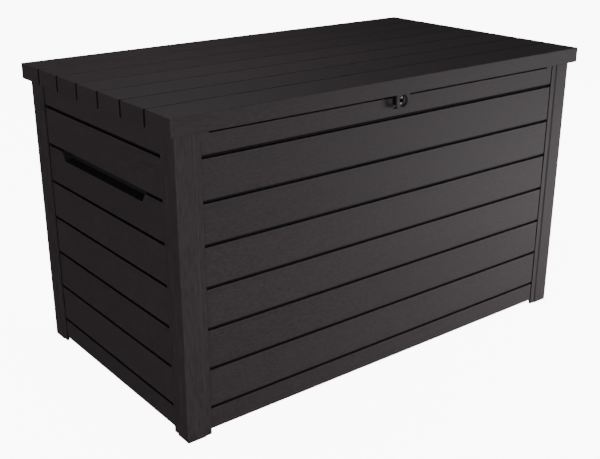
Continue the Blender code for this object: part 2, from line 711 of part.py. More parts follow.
def make_lid_leaf(name, centre, frame):
    """The leaf screwed inside the lid's rear skirt, with one knuckle between the body leaf's two."""
    back = DEPTH / 2 - SKIRT_WALL - GAP
    half = HINGE_WIDTH / 2
    shoulder = HINGE_Z + KNUCKLE_RADIUS + RUNNING
    knuckle = HINGE_LID_KNUCKLE / 2
    neck_bottom = HINGE_Z + KNUCKLE_RADIUS / 2
    top = HINGE_Z + LID_LEAF_HEIGHT
    outline = [(-knuckle, neck_bottom), (knuckle, neck_bottom), (knuckle, shoulder), (half, shoulder),
               (half, top), (-half, top), (-half, shoulder), (-knuckle, shoulder)]
    mesh = bmesh.new()
    add_prism(mesh, [(centre + x, z) for x, z in outline], "Y", back - LEAF, back)
    leaf = new_piece(name, mesh, "resin", frame, HINGE_AXIS)
    barrel = bmesh.new()
    barrel_end = (centre + knuckle, HINGE_Y, HINGE_Z)
    add_rod(barrel, (centre - knuckle, HINGE_Y, HINGE_Z), barrel_end, KNUCKLE_RADIUS)
    combine(leaf, barrel, "UNION", HINGE_AXIS)
    bore = bmesh.new()
    add_pin_bore(bore, centre)
    add_screw_holes(bore, lid_leaf_screw_heads(centre), (0, 1, 0), LEAF + OVERLAP)
    combine(leaf, bore, "DIFFERENCE", HINGE_AXIS)
    for end, head in zip(SIDES, lid_leaf_screw_heads(centre)):
        make_screw(name + "_screw_" + end, head, (0, 1, 0), frame, HINGE_AXIS)


def make_hinge_pin(name, centre, frame):
    """A steel pin with a head at each end."""
    end = HINGE_WIDTH / 2 + RUNNING + PIN_HEAD
    shoulder = end - PIN_HEAD
    profile = [(0, -end), (PIN_HEAD_RADIUS, -end), (PIN_HEAD_RADIUS, -shoulder), (PIN_RADIUS, -shoulder),
               (PIN_RADIUS, shoulder), (PIN_HEAD_RADIUS, shoulder), (PIN_HEAD_RADIUS, end), (0, end)]
    mesh = bmesh.new()
    add_turned(mesh, profile, facing((1, 0, 0), (centre, HINGE_Y, HINGE_Z)), SMALL_STEPS)
    new_piece(name, mesh, "steel", frame, smooth=True)


# Gas struts

def foot_screw_places():
    """The foot bracket's two screws, as (y, z) on the end wall."""
    y, z = STRUT_FOOT.y, STRUT_FOOT.z
    return [(y - FOOT_SCREW_SPREAD, z), (y + FOOT_SCREW_SPREAD, z)]


def make_foot_bracket(name, side, frame):
    """A plate on the end wall with the pin that the strut's lower eye turns on."""
    wall_face = INNER_X - GAP
    plate_face = wall_face - BRACKET_PLATE
    eye_outer = STRUT_X + STRUT_EYE_WIDTH / 2 + RUNNING
    eye_inner = STRUT_X - STRUT_EYE_WIDTH / 2 - RUNNING
    y, z = STRUT_FOOT.y, STRUT_FOOT.z
    ends = sorted((side * wall_face, side * plate_face))
    mesh = bmesh.new()
    add_box(mesh, (ends[0], y - FOOT_BRACKET_WIDTH / 2, z - FOOT_BRACKET_HEIGHT / 2),
            (ends[1], y + FOOT_BRACKET_WIDTH / 2, z + FOOT_BRACKET_HEIGHT / 2))
    bracket = new_piece(name, mesh, "black_steel", frame)
    tip = eye_inner - STRUT_PIN_HEAD
    profile = [(0, plate_face + OVERLAP), (STRUT_PIN_HEAD_RADIUS, plate_face + OVERLAP),
               (STRUT_PIN_HEAD_RADIUS, eye_outer), (STRUT_PIN_RADIUS, eye_outer),
               (STRUT_PIN_RADIUS, eye_inner), (STRUT_PIN_HEAD_RADIUS, eye_inner),
               (STRUT_PIN_HEAD_RADIUS, tip), (0, tip)]
    pin = bmesh.new()
    add_turned(pin, profile, facing((side, 0, 0), (0, y, z)))
    combine(bracket, pin, "UNION")
    holes = bmesh.new()
    heads = [(side * plate_face, y, z) for y, z in foot_screw_places()]
    add_screw_holes(holes, heads, (side, 0, 0), BRACKET_PLATE + OVERLAP)
    combine(bracket, holes, "DIFFERENCE")
    for end, head in zip(("front", "rear"), heads):
        make_screw(name + "_screw_" + end, head, (side, 0, 0), frame)


def make_head_bracket(name, side, frame):
    """An angle under the lid whose upright plate stands beside the strut's upper end."""
    inner_face = STRUT_X + STRUT_EYE_WIDTH / 2 + HEAD_BRACKET_CLEARANCE
    top = DECK_UNDERSIDE - GAP
    bottom = STRUT_HEAD.z - HEAD_BRACKET_DROP
    outer_face = inner_face + BRACKET_PLATE
    flange_edge = outer_face - HEAD_BRACKET_FLANGE
    outline = [(flange_edge, top), (outer_face, top), (outer_face, bottom), (inner_face, bottom),
               (inner_face, top - BRACKET_PLATE), (flange_edge, top - BRACKET_PLATE)]
    mesh = bmesh.new()
    add_prism(mesh, [(side * x, z) for x, z in outline], "Y",
              STRUT_HEAD.y - HEAD_BRACKET_WIDTH / 2, STRUT_HEAD.y + HEAD_BRACKET_WIDTH / 2)
    bracket = new_piece(name, mesh, "black_steel", frame, HINGE_AXIS)
    holes = bmesh.new()
    add_screw_holes(holes, head_screw_seats(side), (0, 0, 1), BRACKET_PLATE + OVERLAP)
    combine(bracket, holes, "DIFFERENCE", HINGE_AXIS)
    for end, head in zip(("front", "rear"), head_screw_seats(side)):
        make_screw(name + "_screw_" + end, head, (0, 0, 1), frame, HINGE_AXIS)


def make_strut_cylinder(name, frame):
    """The strut's cylinder, drawn along +Y from its lower pivot: an eye, a neck and a tube with a bore."""
    start = STRUT_EYE_RADIUS + STRUT_NECK
    end = STRUT_LENGTH - start
    guide = STRUT_ROD_RADIUS + GAP
    bore = STRUT_TUBE_RADIUS - STRUT_TUBE_WALL
    profile = [(0, STRUT_EYE_RADIUS / 2), (STRUT_NECK_RADIUS, STRUT_EYE_RADIUS / 2),
               (STRUT_NECK_RADIUS, start - STRUT_NECK / 2), (STRUT_TUBE_RADIUS, start),
               (STRUT_TUBE_RADIUS, end), (guide, end), (guide, end - STRUT_PLUG), (bore, end - STRUT_PLUG),
               (bore, start + STRUT_PLUG / 2), (0, start + STRUT_PLUG / 2)]
    mesh = bmesh.new()
    add_turned(mesh, profile, facing((0, 1, 0), (0, 0, 0)))
    cylinder = new_piece(name, mesh, "black_steel", frame, smooth=True)
    half = STRUT_EYE_WIDTH / 2
    eye, hole = bmesh.new(), bmesh.new()
    add_rod(eye, (-half, 0, 0), (half, 0, 0), STRUT_EYE_RADIUS)
    add_rod(hole, (-half - OVERLAP, 0, 0), (half + OVERLAP, 0, 0), STRUT_PIN_RADIUS + GAP)
    combine(cylinder, eye, "UNION")
    combine(cylinder, hole, "DIFFERENCE")


def make_strut_rod(name, side, frame):
    """The strut's rod, with its upper eye and the stud whose flange lies beside the head bracket."""
    inner_end = STRUT_LENGTH - STRUT_STROKE - STRUT_ROD_OVERLAP
    neck_start = STRUT_LENGTH - STRUT_EYE_RADIUS - STRUT_NECK + RUNNING
    neck_end = STRUT_LENGTH - STRUT_EYE_RADIUS / 2
    profile = [(0, inner_end), (STRUT_ROD_RADIUS, inner_end), (STRUT_ROD_RADIUS, neck_start),
               (STRUT_NECK_RADIUS, neck_start), (STRUT_NECK_RADIUS, neck_end), (0, neck_end)]
    mesh = bmesh.new()
    add_turned(mesh, profile, facing((0, 1, 0), (0, 0, 0)))
    rod = new_piece(name, mesh, "steel", frame, smooth=True)
    half = STRUT_EYE_WIDTH / 2
    flange_face = half + HEAD_BRACKET_CLEARANCE - RUNNING
    stud = [(0, -half), (STRUT_EYE_RADIUS, -half), (STRUT_EYE_RADIUS, half), (STRUT_PIN_RADIUS, half),
            (STRUT_PIN_RADIUS, flange_face - STUD_FLANGE), (STUD_FLANGE_RADIUS, flange_face - STUD_FLANGE),
            (STUD_FLANGE_RADIUS, flange_face), (0, flange_face)]
    eye = bmesh.new()
    add_turned(eye, stud, facing((side, 0, 0), (0, STRUT_LENGTH, 0)))
    combine(rod, eye, "UNION")


def make_strut(label, side, box, lid):
    """One gas strut: foot bracket on the end wall, cylinder, rod, and head bracket on the lid."""
    run = STRUT_HEAD - STRUT_FOOT
    place = (side * STRUT_X, STRUT_FOOT.y, STRUT_FOOT.z)
    pivot = new_frame("strut_" + label + "_pivot", place, (math.atan2(run.z, run.y), 0, 0), box)
    slide = new_frame("strut_" + label + "_slide", parent=pivot)
    make_foot_bracket("strut_" + label + "_foot_bracket", side, box)
    make_head_bracket("strut_" + label + "_head_bracket", side, lid)
    make_strut_cylinder("strut_" + label + "_cylinder", pivot)
    make_strut_rod("strut_" + label + "_rod", side, slide)


def make_hinge(label, centre, box, lid):
    make_body_leaf("hinge_" + label + "_body_leaf", centre, box)
    make_lid_leaf("hinge_" + label + "_lid_leaf", centre, lid)
    make_hinge_pin("hinge_" + label + "_pin", centre, box)


def main():
    clear_scene()
    box = new_frame("box")
    lid = new_frame("lid_pivot", HINGE_AXIS, parent=box)
    make_floor(box)
    make_front_wall(box)
    make_rear_wall(box)
    make_end_wall("left_wall", -1, box)
    make_end_wall("right_wall", 1, box)
    make_post("post_front_left", -1, -1, 0, box)
    make_post("post_front_right", 1, -1, math.pi / 2, box)
    make_post("post_rear_right", 1, 1, math.pi, box)
    make_post("post_rear_left", -1, 1, -math.pi / 2, box)
    make_lock_eye(box)
    make_lid(lid)
    for row, y in (("front", -TUBE_OFFSET), ("rear", TUBE_OFFSET)):
        make_tube("lid_tube_" + row, y, lid)
        for label, side in SIDES.items():
            make_tube_clip("tube_clip_" + row + "_" + label, side * CLIP_OFFSET, y, lid)
    for label, centre in HINGE_PLACES.items():
        make_hinge(label, centre, box, lid)
    for label, side in SIDES.items():
        make_strut(label, side, box, lid)


main()
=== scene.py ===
"""Deck storage box: a dark resin box with boarded walls, corner posts and a planked lid.

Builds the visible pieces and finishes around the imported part. X runs along the length, the front
faces -Y and +Z is up, in metres. Each piece's place is in its mesh.
"""

import json
import math

import bmesh
import bpy
from bpy.props import FloatProperty, FloatVectorProperty, IntProperty, PointerProperty
from mathutils import Matrix, Vector


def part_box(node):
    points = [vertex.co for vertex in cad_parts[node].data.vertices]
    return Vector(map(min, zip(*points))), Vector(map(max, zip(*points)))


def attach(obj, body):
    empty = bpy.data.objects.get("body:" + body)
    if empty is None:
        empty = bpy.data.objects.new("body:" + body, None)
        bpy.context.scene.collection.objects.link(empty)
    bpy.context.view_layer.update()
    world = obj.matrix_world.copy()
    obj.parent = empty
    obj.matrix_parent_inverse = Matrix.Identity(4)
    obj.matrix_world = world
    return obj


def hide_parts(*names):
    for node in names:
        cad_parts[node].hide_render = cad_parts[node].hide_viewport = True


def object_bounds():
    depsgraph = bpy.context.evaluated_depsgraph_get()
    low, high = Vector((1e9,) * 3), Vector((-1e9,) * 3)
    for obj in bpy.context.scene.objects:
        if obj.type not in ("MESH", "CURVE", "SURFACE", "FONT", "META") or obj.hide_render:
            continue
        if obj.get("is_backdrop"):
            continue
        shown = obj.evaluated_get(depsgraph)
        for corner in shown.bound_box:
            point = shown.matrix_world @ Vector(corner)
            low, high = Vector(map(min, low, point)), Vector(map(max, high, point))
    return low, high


bl_info = {
    "name": "Deck Storage Box",
    "version": (1, 0, 0),
    "blender": (4, 5, 0),
    "location": "View3D > Sidebar > Deck Box",
    "description": "Builds a boarded resin deck box with corner posts and a planked, hinged lid",
    "category": "Object",
}

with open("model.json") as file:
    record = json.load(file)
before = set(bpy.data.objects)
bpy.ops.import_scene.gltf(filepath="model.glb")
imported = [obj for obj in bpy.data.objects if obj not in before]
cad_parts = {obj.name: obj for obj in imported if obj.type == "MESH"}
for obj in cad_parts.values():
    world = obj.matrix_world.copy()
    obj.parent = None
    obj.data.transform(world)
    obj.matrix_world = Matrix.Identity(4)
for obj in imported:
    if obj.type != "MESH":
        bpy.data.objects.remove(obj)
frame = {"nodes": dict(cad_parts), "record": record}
CAD_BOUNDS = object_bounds()
CAD_LOW, CAD_HIGH = CAD_BOUNDS
LENGTH = CAD_HIGH.x - CAD_LOW.x
DEPTH = CAD_HIGH.y - CAD_LOW.y
HEIGHT = CAD_HIGH.z - CAD_LOW.z
THROUGH = 0.02        # how far a cutter reaches past what it cuts
TINY = 0.00002        # how near two places are when they count as one
GAP = 0.0003          # clearance between two fixed pieces
OVERLAP = 0.001       # how deep two solids run into each other before they are joined
PAINTED_SHADE = "painted_shade"     # the number stored on each face for how much painted shade darkens its colour
LOOKS_ALONG = 0.9     # how nearly a face must look along an axis to count as facing that way
LOOKS_STRAIGHT = 0.99  # the same, for a face that looks straight along it
SMOOTH_ANGLE = math.radians(40)   # faces that meet at less than this are shaded as one
SHARP_ANGLE = math.radians(50)    # edges sharper than this can be rounded
FLAT_ANGLE = math.radians(0.05)   # faces that meet at less than this are made one face
SHADING_WEIGHT = 60   # how strongly large faces set the shading
CORNER_STEPS = 10     # steps round a lower corner of the tab
OVAL_STEPS = 40       # steps round an oval or a round hole


# Settings

def length_setting(name, description, default):
    return FloatProperty(name=name, description=description, default=default, min=0.0,
                         unit="LENGTH")


def colour_setting(name, description, default):
    return FloatVectorProperty(name=name, description=description, default=default, size=3,
                               min=0.0, max=1.0, subtype="COLOR")


def share_setting(name, description, default):
    return FloatProperty(name=name, description=description, default=default, min=0.0, max=1.0,
                         subtype="FACTOR")


class DeckBoxBoards(bpy.types.PropertyGroup):
    """Sizes of the boarded walls."""
    setback: length_setting("Setback", "How far the boards lie behind the post faces", 0.005)
    thickness: length_setting("Thickness", "Thickness of a wall", 0.018)
    grooves: IntProperty(name="Grooves", description="Grooves between the boards", default=7, min=1)
    first_groove: length_setting("First groove", "Height of the lowest groove above the ground",
                                 0.078)
    groove_pitch: length_setting("Pitch", "Distance between grooves", 0.1123)
    groove: length_setting("Groove width", "Width of a groove between two boards", 0.0085)
    top_groove: length_setting("Top groove width", "Width of the highest groove", 0.0095)
    groove_depth: length_setting("Groove depth", "Depth of a groove", 0.008)
    rebate_depth: length_setting("Rebate depth", "Depth of the rebate under the lid's skirt", 0.008)
    rebate_height: length_setting("Rebate height", "How far the rebate reaches below the skirt",
                                  0.010)
    rebate_inset: length_setting("Rebate inset", "How far the rebate stops short of the posts",
                                 0.023)
    rounding: length_setting("Rounding", "Radius of the boards' edges", 0.0008)
    seam: length_setting("Seam", "Gap between the boards and a post", 0.0010)
    # Painted shade on the boards' ends in the seam beside a post
    seam_painted_shade: share_setting("Seam shade", "How dark the boards' ends look", 0.4)
    ledge: length_setting("Ledge", "How far the floor's ledge stands out inside", 0.012)
    ledge_height: length_setting("Ledge height", "Height of the floor's ledge", 0.010)
    inner_groove: length_setting("Inner groove", "Width of the joints seen inside", 0.003)
    inner_groove_depth: length_setting("Inner groove depth", "Depth of the joints seen inside",
                                       0.0015)


class DeckBoxPosts(bpy.types.PropertyGroup):
    """Sizes of the corner posts."""
    leg: length_setting("Leg", "Width of a post on each side of the corner", 0.074)
    face: length_setting("Face", "Width of the proud face", 0.052)
    step: length_setting("Step", "Width of the sloping step beside the face", 0.005)
    strip_setback: length_setting("Strip setback", "How far the outer strip lies behind the face",
                                  0.003)
    leg_wall: length_setting("Leg wall", "Thickness of the post's thin edge", 0.010)
    core: length_setting("Core", "Size of the solid square in the corner", 0.0262)
    corner_rounding: length_setting("Corner rounding", "Radius of the outer corner", 0.003)
    edge_rounding: length_setting("Edge rounding", "Radius of the step's edges", 0.0012)


class DeckBoxLid(bpy.types.PropertyGroup):
    """Sizes of the lid."""
    skirt_height: length_setting("Skirt height", "Height of the skirt round the lid", 0.045)
    skirt_wall: length_setting("Skirt wall", "Thickness of the skirt", 0.006)
    deck: length_setting("Deck", "Thickness of the deck", 0.010)
    planks: IntProperty(name="Planks", description="Planks across the lid", default=7, min=2)
    groove: length_setting("Groove width", "Width of a groove between two planks", 0.003)
    groove_depth: length_setting("Groove depth", "Depth of a groove between two planks", 0.0025)
    slot: length_setting("End slot width", "Width of the slot at each end of a groove", 0.0095)
    slot_depth: length_setting("End slot depth", "Depth of the slot at each end of a groove",
                               0.0045)
    ribs: IntProperty(name="Ribs", description="Ribs under the deck", default=10, min=0)
    rib_spacing: length_setting("Rib spacing", "Distance between two ribs", 0.12)
    rib_width: length_setting("Rib width", "Thickness of a rib", 0.004)
    rib_height: length_setting("Rib height", "Height of a rib", 0.008)
    edge_rounding: length_setting("Edge rounding", "Radius of the lid's outer edges", 0.0018)
    lip_rounding: length_setting("Lip rounding", "Radius of the edges of grooves and slots", 0.0007)
    # Painted shade in the grooves between the planks
    groove_painted_shade: share_setting("Groove shade", "How dark the grooves between the planks look", 0.5)


class DeckBoxHandle(bpy.types.PropertyGroup):
    """Sizes of the handle pockets in the end walls."""
    top_width: length_setting("Top width", "Width of the opening along its upper edge", 0.488)
    bottom_width: length_setting("Bottom width", "Width of the opening along its lower edge", 0.440)
    opening: length_setting("Opening", "Height of the opening", 0.034)
    depth: length_setting("Depth", "Depth of the pocket", 0.026)
    fall: length_setting("Fall", "How far the pocket's floor falls from back to front", 0.005)
    lip: length_setting("Lip", "Thickness of the board that the fingers hook behind", 0.007)
    hook: length_setting("Hook", "How far the pocket rises behind the board", 0.010)
    housing: length_setting("Housing", "Thickness of the pocket's housing", 0.006)
    rise: length_setting("Rise", "How far the opening rises above the groove's upper edge", 0.0005)
    # Painted shade inside the handle pocket
    shade: share_setting("Shade", "How dark the inside of the pocket looks", 0.8)
    groove_number: IntProperty(name="Groove", description="The groove the pocket hangs from",
                               default=5)


class DeckBoxLock(bpy.types.PropertyGroup):
    """Sizes of the lock tab and its eye."""
    tab_width: length_setting("Tab width", "Width of the tab on the lid", 0.050)
    tab_drop: length_setting("Tab drop", "How far the tab hangs below the skirt", 0.039)
    tab_thickness: length_setting("Tab thickness", "Thickness of the tab", 0.005)
    tab_setback: length_setting("Tab setback", "How far the tab lies behind the skirt's face",
                                0.0005)
    tab_root: length_setting("Tab root", "How far the tab runs up into the skirt", 0.003)
    tab_edge: length_setting("Tab edge", "Radius of the edges of the tab's face", 0.0012)
    tab_rounding: length_setting("Tab rounding", "Radius of the tab's lower corners", 0.014)
    hole_width: length_setting("Hole width", "Width of the tab's oval hole", 0.024)
    hole_height: length_setting("Hole height", "Height of the tab's oval hole", 0.028)
    dish: length_setting("Dish", "Width of the sloping ring round the hole", 0.004)
    dish_depth: length_setting("Dish depth", "Depth of the sloping ring round the hole", 0.002)
    pocket_width: length_setting("Pocket width", "Width of the pocket behind the lock", 0.030)
    pocket_drop: length_setting("Pocket drop", "How far the pocket reaches below the eye's middle",
                                0.024)
    pocket_depth: length_setting("Pocket depth", "Depth of the pocket behind the lock", 0.008)
    plate: length_setting("Eye plate", "Thickness of the eye's plate", 0.004)
    leg: length_setting("Eye leg", "Thickness of the eye's legs", 0.003)
    eye_edge: length_setting("Eye edge", "Radius of the edges of the eye's face", 0.0008)
    eye_hole: length_setting("Eye hole", "Radius of the hole through the eye", 0.006)
    # Painted shade on the tab's sides and in its hole
    side_painted_shade: share_setting("Side shade", "How dark the tab's sides and its hole look", 0.8)


class DeckBoxResin(bpy.types.PropertyGroup):
    """Colour and surface of the resin, and the colour of its painted shade."""
    dark: colour_setting("Dark grain", "Colour of the darker fibres", (0.0120, 0.0088, 0.0098))
    light: colour_setting("Light grain", "Colour of the lighter fibres", (0.0340, 0.0262, 0.0284))
    plain: colour_setting("Plain", "Colour of the smooth mouldings", (0.0190, 0.0160, 0.0168))
    # Painted shade: the near-black colour that marked faces in grooves, seams, slots and pockets
    # are darkened towards
    painted_shade: colour_setting("Recess", "Colour deep in the grooves", (0.0012, 0.0010, 0.0010))
    roughness: share_setting("Roughness", "How dull the grained resin is", 0.66)
    gloss: share_setting("Gloss", "How strongly the grained resin mirrors light", 0.22)
    relief: share_setting("Relief", "Strength of the moulded grain", 0.35)


class DeckBoxMetal(bpy.types.PropertyGroup):
    """Colours of the metal parts."""
    zinc_dark: colour_setting("Dark zinc", "Colour of the zinc plating where dull",
                              (0.40, 0.40, 0.41))
    zinc_light: colour_setting("Light zinc", "Colour of the zinc plating where bright",
                               (0.62, 0.62, 0.60))
    coat_dark: colour_setting("Dark coat", "Darker tone of the black coat", (0.012, 0.012, 0.013))
    coat_light: colour_setting("Light coat", "Lighter tone of the black coat",
                               (0.020, 0.020, 0.021))


class DeckBoxStage(bpy.types.PropertyGroup):
    """Floor, lights and camera."""
    floor: colour_setting("Floor", "Colour of the floor", (0.86, 0.86, 0.86))
    floor_glow: FloatProperty(name="Floor glow", description="How brightly the floor itself shines",
                              default=11.0, min=0.0)
    power: FloatProperty(name="Power", description="Power that the lights' shares are taken from",
                         default=150.0, min=0.0, unit="POWER")
    sky: FloatProperty(name="Sky", description="Strength of the light from all round",
                       default=0.1, min=0.0)
    lens: FloatProperty(name="Lens", description="Focal length of the camera", default=56.74,
                        min=1.0, unit="CAMERA")


class DeckBoxSettings(bpy.types.PropertyGroup):
    """Everything that can be changed about the deck box."""
    boards: PointerProperty(type=DeckBoxBoards)
    posts: PointerProperty(type=DeckBoxPosts)
    lid: PointerProperty(type=DeckBoxLid)
    handle: PointerProperty(type=DeckBoxHandle)
    lock: PointerProperty(type=DeckBoxLock)
    resin: PointerProperty(type=DeckBoxResin)
    metal: PointerProperty(type=DeckBoxMetal)
    stage: PointerProperty(type=DeckBoxStage)


def settings():
    return bpy.context.scene.deck_box


# Mesh helpers

def add_block(mesh, low, high):
    """A block between two opposite corners, given in any order."""
    low, high = Vector(low), Vector(high)
    size = high - low
    scale = Matrix.Diagonal((abs(size.x), abs(size.y), abs(size.z), 1))
    bmesh.ops.create_cube(mesh, size=1, matrix=Matrix.Translation((low + high) / 2) @ scale)
    return mesh


def add_prism(mesh, outline, axis, start, end):
    """A flat outline drawn across an axis, and extruded along it."""
    along = "XYZ".index(axis)
    across = [number for number in range(3) if number != along]
    corners = []
    for first, second in outline:
        point = Vector((start, start, start))
        point[across[0]] = first
        point[across[1]] = second
        corners.append(mesh.verts.new(point))
    face = mesh.faces.new(corners)
    grown = bmesh.ops.extrude_face_region(mesh, geom=[face])["geom"]
    run = Vector((0, 0, 0))
    run[along] = end - start
    bmesh.ops.translate(mesh, verts=points_in(grown), vec=run)
    bmesh.ops.recalc_face_normals(mesh, faces=mesh.faces)
    return mesh


def add_rod(mesh, start, end, radius, steps):
    """A round bar between two points."""
    start, end = Vector(start), Vector(end)
    turn = (end - start).to_track_quat("Z", "Y").to_matrix().to_4x4()
    bmesh.ops.create_cone(mesh, cap_ends=True, segments=steps, radius1=radius, radius2=radius,
                          depth=(end - start).length,
                          matrix=Matrix.Translation((start + end) / 2) @ turn)
    return mesh


def points_in(geometry):
    return [item for item in geometry if isinstance(item, bmesh.types.BMVert)]


def arc(centre, radius, start, end, steps):
    """Points along an arc, angles in degrees. radius may be a pair for an oval."""
    wide, tall = radius if isinstance(radius, tuple) else (radius, radius)
    angles = [math.radians(start + (end - start) * step / steps) for step in range(steps + 1)]
    return [(centre[0] + wide * math.cos(a), centre[1] + tall * math.sin(a)) for a in angles]


def mesh_object(name, mesh):
    """An object at the origin that holds a bmesh."""
    data = bpy.data.meshes.new(name)
    mesh.to_mesh(data)
    mesh.free()
    item = bpy.data.objects.new(name, data)
    bpy.context.scene.collection.objects.link(item)
    return item


def combine(mesh, tool, operation):
    """Cut a bmesh with another, or join the two, and give back the result."""
    base, other = mesh_object("base", mesh), mesh_object("tool", tool)
    modifier = base.modifiers.new("combine", "BOOLEAN")
    modifier.operation = operation
    modifier.object = other
    result = bmesh.new()
    result.from_object(base, bpy.context.evaluated_depsgraph_get())
    for item in (base, other):
        data = item.data
        bpy.data.objects.remove(item)
        bpy.data.meshes.remove(data)
    bmesh.ops.remove_doubles(result, verts=result.verts, dist=TINY / 4)
    bmesh.ops.dissolve_limit(result, angle_limit=FLAT_ANGLE, verts=result.verts,
                             edges=result.edges, use_dissolve_boundaries=False)
    return result


def cut(mesh, tool):
    return combine(mesh, tool, "DIFFERENCE")


def join(mesh, tool):
    return combine(mesh, tool, "UNION")


def round_edges(mesh, edges, radius, segments=3):
    """Round the given edges."""
    bmesh.ops.bevel(mesh, geom=list(edges), offset=radius, offset_type="OFFSET", segments=segments,
                    profile=0.5, affect="EDGES", clamp_overlap=True, material=-1)


def sharp_edges(mesh, test):
    """The sharp outward edges whose two ends both pass a test."""
    return [edge for edge in mesh.edges
            if len(edge.link_faces) == 2 and edge.is_convex
            and edge.calc_face_angle(0) > SHARP_ANGLE
            and all(test(point.co) for point in edge.verts)]


def close_to(value, target):
    return abs(value - target) < TINY


def mark_painted_shade(mesh, painted_shade_of):
    """Note on each face how much painted shade darkens it in a groove, from 0 on the outer skin to
    1 deep inside.
    """
    layer = mesh.faces.layers.float.new(PAINTED_SHADE)
    for face in mesh.faces:
        face[layer] = painted_shade_of(face.calc_center_median(), face.normal)


def finish_piece(name, mesh, material, body, slot, *nodes):
    """Turn a bmesh into a visible piece that stands for CAD nodes and rides on a body."""
    piece = mesh_object(name, mesh)
    piece.data.materials.append(material)
    piece.data.shade_smooth()
    piece.data.set_sharp_from_angle(angle=SMOOTH_ANGLE)
    weighted = piece.modifiers.new("even_shading", "WEIGHTED_NORMAL")
    weighted.keep_sharp = True
    weighted.weight = SHADING_WEIGHT
    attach(piece, body)
    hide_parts(*nodes)
    return piece


def give_finish(node, material):
    """Put a material on a CAD node in place of its own."""
    materials = frame["nodes"][node].data.materials
    materials.clear()
    materials.append(material)


# Shader helpers

class Value:
    """A socket that can be used in sums: each sum adds a Math node."""

    def __init__(self, graph, socket):
        self.graph = graph
        self.socket = socket

    def sum(self, operation, *others):
        return self.graph.add("ShaderNodeMath", {"operation": operation},
                              dict(enumerate((self,) + others)))

    def __add__(self, other):
        return self.sum("ADD", other)

    def __sub__(self, other):
        return self.sum("SUBTRACT", other)

    def __rsub__(self, other):
        return self.graph.add("ShaderNodeMath", {"operation": "SUBTRACT"}, {0: other, 1: self})

    def __mul__(self, other):
        return self.sum("MULTIPLY", other)

    def __truediv__(self, other):
        return self.sum("DIVIDE", other)

    __radd__ = __add__
    __rmul__ = __mul__

    def floor(self):
        return self.sum("FLOOR")


class Graph:
    """The nodes of one material, joined to its Principled shader."""

    def __init__(self, name):
        self.material = bpy.data.materials.new(name)
        self.material.use_nodes = True
        self.tree = self.material.node_tree
        self.shader = self.tree.nodes["Principled BSDF"]

    def add(self, kind, setup=None, inputs=None, output=0):
        """Add a node: first its settings, then the values and links of its sockets."""
        node = self.tree.nodes.new(kind)
        for key, value in (setup or {}).items():
            setattr(node, key, value)
        for key, value in (inputs or {}).items():
            self.feed(node.inputs[key], value)
        return Value(self, node.outputs[output])

    def feed(self, socket, value):
        if isinstance(value, Value):
            self.tree.links.new(value.socket, socket)
        else:
            socket.default_value = value

    def surface(self, **inputs):
        """Set or link sockets of the Principled shader; an underline stands for a space."""
        for key, value in inputs.items():
            self.feed(self.shader.inputs[key.replace("_", " ")], value)
        return self.material

    def place(self, scale, shift=(0, 0, 0)):
        """Object coordinates, stretched."""
        where = self.add("ShaderNodeTexCoord", output="Object")
        return self.add("ShaderNodeMapping",
                        inputs={"Vector": where, "Scale": scale, "Location": shift})

    def noise(self, where, scale=1.0, detail=3.0, roughness=0.55, distortion=0.0):
        """Noise between about 0 and 1."""
        return self.add("ShaderNodeTexNoise", inputs={
            "Vector": where, "Scale": scale, "Detail": detail, "Roughness": roughness,
            "Distortion": distortion})

    def spread(self, value, low, high, to_low=0.0, to_high=1.0):
        """Stretch a value's range, clamped at both ends."""
        return self.add("ShaderNodeMapRange", inputs={
            "Value": value, "From Min": low, "From Max": high, "To Min": to_low, "To Max": to_high})

    def mix(self, share, first, second):
        """A colour between two others."""
        return self.add("ShaderNodeMix", {"data_type": "RGBA"},
                        {0: share, 6: first, 7: second}, output=2)

    def stored(self, name):
        """A number stored on the mesh."""
        return self.add("ShaderNodeAttribute", {"attribute_name": name}, output="Fac")

    def bump(self, height, strength, distance):
        """A normal that follows a height in metres times a distance."""
        return self.add("ShaderNodeBump", inputs={
            "Height": height, "Strength": strength, "Distance": distance})


def with_alpha(colour):
    return (*colour, 1.0)


GRAIN_AXES = {"X": 0, "Y": 1, "Z": 2}

# How fine the grain is along it and across it, and its share of the resin's tone
FIBRES = (110, 420, 0.40)
STREAKS = (64, 210, 0.46)
CLOUDS = (16, 48, 0.14)
BOARD_SHARE = 0.12


def grain_scale(axis, along, across):
    scale = [across, across, across]
    scale[GRAIN_AXES[axis]] = along
    return tuple(scale)


